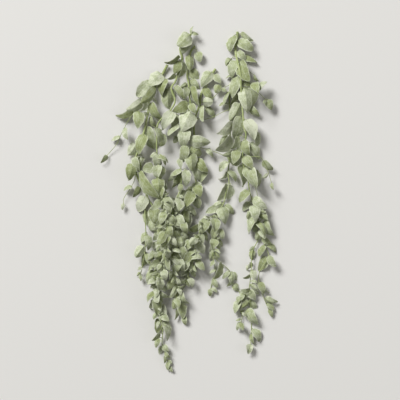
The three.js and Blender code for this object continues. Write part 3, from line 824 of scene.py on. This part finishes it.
# The middle vine: a cut stem that runs straight down the middle of the bunch. It is woody and downy, with
# thin, soft leaves. It grew as one piece, without a fork, and lies loose between its neighbours.
middle_stems = (
    (  # main
        (5.2, 1.7),
        (400, 14, 34, 22, 60),
        (
            (16, 396, 6), (6, 384, 1.6), (0, 360, 1.6), (-5, 321, 5), (-1, 298, 10), (1, 266, 15),
            (3, 246, 19), (-5, 209, 23), (-13, 173, 25), (-18, 136, 25), (-23, 110, 23), (-21, 74, 22),
            (-20, 43, 22), (-23, 20, 24), (-35, -6, 27), (-42, -30, 29), (-39, -77, 31), (-47, -113, 31),
            (-44, -155, 29), (-39, -191, 25), (-31, -225, 19), (-34, -254, 11), (-23, -285, 4),
            (-13, -316, 0.6),
        ),
    ),
)
middle_large = (
    (22, 381, 30, 354, 22), (1, 373, 4, 333, 25), (-3, 360, -10, 303, 17), (3, 332, 25, 311, 28),
    (3, 308, 27, 285, 22), (-5, 299, -23, 287, 12), (-5, 287, -12, 257, 17), (5, 290, 23, 235, 19),
    (-3, 248, -42, 225, 30), (5, 224, -20, 176, 47), (0, 191, 0, 157, 17), (-10, 181, -16, 131, 39),
    (-29, 160, -40, 144, 16), (5, 178, 18, 155, 14), (3, 150, 55, 143, 31), (3, 134, 31, 110, 27),
    (3, 116, 8, 72, 33), (-26, 103, -21, 78, 17), (-21, 77, -48, 58, 14), (-26, 74, -29, 34, 23),
    (-8, 74, -8, 31, 27), (-36, 53, -40, 27, 11), (-21, 38, -23, 17, 14), (-13, 22, -21, -14, 28),
    (-34, -6, -29, -38, 22), (-36, -35, -34, -74, 34), (-34, 220, -44, 181, 22), (-34, -217, -38, -261, 27),
    (-23, -243, -3, -274, 17), (-21, -269, -14, -311, 25), (-29, -287, -34, -316, 11),
    (-12, -306, -10, -329, 14), (-29, 191, -57, 166, 14), (4, 246, 18, 220, 19), (-39, -84, -25, -129, 23),
    (-34, -259, -42, -287, 19), (-39, -126, -21, -165, 22),
)
middle_added = (
    (-7.8, 136.5, -18.2, 92.3, 26, 9), (-33.8, 68.9, -54.6, 42.9, 18.2, 5),
    (-20.8, -162.5, -36.4, -191.1, 18.2, 9), (-39, -209.3, -57.2, -237.9, 18.2, 8),
    (-31.2, -224.9, -49.4, -258.7, 15.6, 5), (-20.8, -97.5, -15.6, -131.3, 23.4, 9),
    (-23.4, -126.1, -7.8, -157.3, 23.4, 8), (-13, -61.1, -5.2, -92.3, 20.8, 10),
    (-26, -157.3, -13, -185.9, 20.8, 10),
)
# The leaves painted paler, as painted light, by the places where their blades begin.
middle_lit_places = (
    (5, 224), (-10, 181),
)
grow(
    "middle_vine", 7121, middle_stems, middle_large,
    added=middle_added, lit_places=middle_lit_places,
)

# The short vine: a cut stem that starts lower than the others, with three thin twines that reach out
# towards the right one. It is woody and downy, with thin, soft leaves. It grew as one piece and lies loose.
short_stems = (
    (  # main
        (6.4, 1.8),
        (310, 13.4, 33, 22, 56),
        (
            (69, 337, 7), (57, 318, 4), (47, 300, 1.6), (38, 285, 1.6), (30, 266, 5), (29, 248, 8),
            (23, 230, 8), (16, 209, 7), (13, 186, 6), (14, 160, 6), (18, 134, 6), (16, 105, 6), (12, 74, 1),
            (18, 43, 1), (13, 17, 4), (-3, -9, 7), (-13, -43, 10), (-18, -82, 12), (-10, -121, 12),
            (0, -165, 9), (-3, -202, 3), (-8, -222, 0.7), (-18, -238, 4), (-29, -254, 7.4),
            (-36, -264, 7.4),
        ),
    ),
    (  # high twine
        (1.8, 1.4),
        None,
        (
            (29, 248, 8), (44, 250, 11), (60, 259, 12), (73, 272, 11), (86, 285, 9), (99, 292, 6),
            (113, 298, 4),
        ),
    ),
    (  # mid twine
        (1.8, 1.4),
        None,
        (
            (16, 209, 7), (36, 205, 11), (55, 209, 13), (68, 214, 13), (83, 222, 12), (96, 228, 10),
            (110, 231, 8.6),
        ),
    ),
    (  # low twine
        (1.8, 1.4),
        None,
        (
            (18, 134, 6), (42, 129, 11), (68, 121, 15), (88, 113, 16), (109, 108, 15.3),
        ),
    ),
)
short_large = (
    (58, 329, 30, 290, 30), (39, 285, 60, 259, 25), (36, 251, 62, 251, 25), (65, 321, 83, 298, 20),
    (78, 295, 68, 274, 23), (44, 235, 68, 212, 20), (31, 240, 36, 199, 14), (23, 255, 3, 248, 14),
    (86, 285, 99, 277, 12), (44, 306, 42, 285, 12), (47, 129, 62, 108, 16), (16, 100, 47, 69, 27),
    (13, 92, 29, 48, 28), (16, 40, 34, 12, 25), (8, 17, -8, -20, 28), (-10, -38, -3, -79, 27),
    (3, -155, -13, -191, 22), (3, -176, 17, -204, 19), (-4, -204, 0, -230, 16),
)
short_added = (
    (-10.4, -105.3, -23.4, -144.3, 20.8, 16), (-5.2, -133.9, -15.6, -167.7, 20.8, 11),
    (-18.2, -165.1, -33.8, -193.7, 18.2, 9), (44.2, 71.5, 31.2, 40.3, 18.2, 9),
    (-15.6, -79.3, -2.6, -110.5, 18.2, 9),
)
grow("short_vine", 9463, short_stems, short_large, added=short_added)

# The right vine: the most branched one, with forks, thin twigs and free shoots, and the long trailing ends
# on the right. It is woody and downy, with thin, soft leaves. It grew as one piece and lies loose.
right_stems = (
    (  # main
        (7, 2.6),
        (470, 28, 30, 24, 2),
        (
            (126, 433, 8), (125, 415, 4), (121, 396, 1.7), (121, 381, 1.7), (126, 355, 6), (133, 321, 10),
            (135, 287, 14), (138, 246, 18), (140, 217, 20), (143, 183, 22), (148, 162, 23), (140, 126, 24),
            (138, 105, 24), (143, 79, 21), (153, 48, 16), (157, 22, 12), (169, -22, 8), (179, -56, 6),
            (185, -82, 5),
        ),
    ),
    (  # outer fork
        (2.6, 1.5),
        None,
        (
            (185, -82, 5), (190, -108, 6), (198, -124, 8), (207, -150, 12), (195, -170, 14),
            (182, -194, 12), (182, -222, 9), (190, -248, 6), (200, -272, 3), (213, -303, 0.5),
        ),
    ),
    (  # long fork
        (2.6, 1.5),
        None,
        (
            (185, -82, 5), (179, -108, 6), (166, -134, 9), (162, -160, 12), (162, -181, 14),
            (159, -212, 14), (156, -238, 12), (159, -264, 9), (162, -311, 3), (162, -342, 0.5),
            (160, -376, 4), (156, -396, 7),
        ),
    ),
    (  # inner fork
        (4.2, 1.8),
        (470, 18, 27, 19, 98),
        (
            (126, 355, 6), (117, 329, 2), (109, 295, 1), (105, 256, 4), (107, 204, 8), (107, 160, 10),
            (104, 121, 12), (104, 92, 13), (101, 66, 14), (104, 38, 14), (96, 14, 13), (90, -12, 12),
            (75, -40, 12), (73, -61, 14), (77, -77, 15), (68, -108, 14), (65, -134, 12), (62, -150, 11),
            (68, -181, 8), (70, -199, 6), (62, -209, 4), (56, -238, 0.5),
        ),
    ),
    (  # side twig
        (1.8, 1.4),
        None,
        (
            (62, -150, 11), (83, -168, 7), (105, -188, 3), (114, -222, 0.5), (130, -240, 2), (133, -264, 5),
            (133, -290, 6), (138, -311, 6), (130, -337, 4),
        ),
    ),
    (  # back twig
        (1.9, 1.4),
        (12, 14, 30, 21, 2),
        (
            (75, -40, 12), (49, -51, 19), (34, -72, 24), (23, -98, 26), (14, -129, 26), (8, -155, 24),
            (13, -176, 21),
        ),
    ),
    (  # upper shoot
        (1.8, 1.4),
        None,
        (
            (135, 287, 14), (153, 286, 20), (172, 280, 22), (185, 270, 20), (199, 256, 16),
        ),
    ),
    (  # middle shoot
        (1.8, 1.4),
        None,
        (
            (138, 105, 24), (159, 108, 27), (182, 108, 27), (192, 98, 25), (205, 69, 21), (214, 40, 16),
        ),
    ),
    (  # lower shoot
        (1.8, 1.4),
        None,
        (
            (153, 48, 16), (172, 27, 19), (178, 4, 16),
        ),
    ),
)
right_large = (
    (133, 428, 165, 407, 17), (129, 411, 165, 384, 28), (118, 424, 105, 381, 22), (135, 358, 153, 303, 33),
    (140, 373, 177, 354, 23), (109, 363, 96, 346, 20), (122, 358, 110, 313, 27), (125, 381, 146, 360, 20),
    (140, 304, 162, 292, 19), (127, 318, 110, 261, 33), (103, 277, 94, 235, 11), (117, 318, 82, 316, 10),
    (143, 287, 151, 220, 44), (159, 287, 169, 243, 16), (166, 300, 179, 273, 25), (177, 280, 200, 304, 14),
    (169, 321, 179, 303, 7), (159, 238, 182, 211, 19), (133, 246, 107, 202, 30), (113, 194, 74, 166, 25),
    (133, 214, 122, 152, 36), (148, 204, 169, 152, 33), (174, 178, 182, 136, 14), (109, 162, 70, 124, 27),
    (159, 144, 187, 105, 23), (127, 126, 114, 90, 25), (133, 87, 140, 30, 23), (148, 84, 174, 27, 37),
    (164, 72, 183, 32, 22), (156, 20, 130, -9, 23), (166, 1, 200, -26, 27), (204, 257, 214, 230, 22),
    (198, 255, 192, 246, 7), (192, 98, 216, 72, 19), (205, 64, 191, 53, 9), (214, 40, 220, 22, 10),
    (178, 6, 182, -12, 12), (198, -56, 217, -98, 23), (203, -152, 179, -188, 28),
    (205, -150, 226, -176, 22), (198, -259, 229, -272, 17), (160, -352, 166, -380, 14),
    (166, -339, 185, -370, 19), (151, -287, 177, -329, 28), (98, 38, 78, -9, 23), (108, 35, 113, -14, 22),
    (86, -12, 58, -27, 20), (94, -16, 104, -58, 27), (75, -26, 43, -36, 20), (47, -53, 29, -90, 27),
    (73, -74, 60, -103, 23), (78, -79, 88, -105, 20), (29, -92, 31, -131, 27), (21, -160, 42, -186, 20),
    (101, 95, 77, 72, 19), (103, 72, 124, 46, 14), (103, 138, 82, 130, 14), (114, 121, 88, 110, 14),
    (104, 121, 122, 84, 25), (143, 147, 127, 121, 19), (140, 150, 156, 110, 25), (143, 108, 161, 77, 27),
    (104, 246, 77, 243, 7), (82, -23, 95, -66, 34), (52, -52, 36, -47, 8), (70, -72, 62, -105, 23),
    (68, -105, 60, -131, 23), (68, -118, 82, -133, 12), (83, -165, 68, -209, 16),
    (109, -191, 112, -225, 20), (104, -188, 86, -207, 14), (117, -222, 127, -240, 20),
    (179, -32, 205, -61, 23), (179, -58, 198, -98, 22), (170, -40, 155, -92, 22), (169, -17, 174, -58, 28),
    (177, -61, 169, -87, 19), (185, -84, 174, -108, 20), (190, -103, 213, -118, 19),
    (195, -121, 181, -150, 17), (203, -118, 226, -139, 14), (166, -134, 164, -161, 17),
    (156, -9, 139, -32, 19), (159, -32, 151, -53, 14), (203, -109, 229, -120, 11),
    (162, -165, 151, -186, 11), (164, -186, 170, -209, 19), (159, -199, 140, -207, 9),
    (161, -214, 179, -220, 9), (159, -222, 179, -239, 14), (182, -217, 195, -248, 20),
    (192, -225, 208, -246, 8), (133, -264, 118, -298, 19), (133, -254, 125, -274, 12),
    (156, -266, 133, -285, 16), (157, -266, 174, -287, 19), (156, -238, 172, -264, 22),
    (151, -240, 140, -269, 19), (159, -238, 134, -242, 14), (203, -272, 221, -290, 11),
    (209, -287, 216, -308, 14), (160, -378, 153, -404, 19), (138, -296, 150, -304, 8),
    (143, -292, 133, -300, 7), (135, -313, 121, -317, 9), (133, -321, 124, -342, 14),
    (134, -321, 140, -341, 14), (138, -243, 135, -264, 14), (153, -173, 150, -187, 11),
    (127, 160, 108, 126, 19), (138, 118, 127, 82, 19), (100, 69, 79, 47, 9), (26, -98, 9, -129, 20),
    (62, -139, 53, -160, 14), (65, -162, 55, -177, 10), (65, -147, 77, -156, 11), (68, -186, 52, -194, 8),
    (62, -209, 73, -231, 14), (56, -235, 55, -254, 14), (57, -234, 73, -243, 9), (114, -191, 121, -214, 16),
    (112, -214, 99, -230, 11), (169, -125, 157, -136, 9), (164, -233, 181, -248, 12),
    (125, 277, 110, 243, 14),
)
right_added = (
    (98.8, 165.1, 78, 133.9, 18.2, 8), (5.2, -107.9, -10.4, -136.5, 23.4, 9),
    (2.6, -139.1, -10.4, -170.3, 23.4, 9), (-2.6, -162.5, -20.8, -188.5, 20.8, 10),
)
# The upper stem shows in front of its leaves, so these places on its route come forward by so much.
right_forward = (
    ((121, 381, 1.7), 5), ((126, 355, 6), 11), ((133, 321, 10), 17), ((135, 287, 14), 9),
)
# The leaves painted paler, as painted light, by the places where their blades begin.
right_lit_places = (
    (143, 287), (148, 204), (113, 194), (109, 162), (98, 38), (166, 1), (169, -17), (151, -287),
    (160, -378),
)
grow(
    "right_vine", 2749, right_stems, right_large,
    added=right_added, forward=right_forward, lit_places=right_lit_places,
)
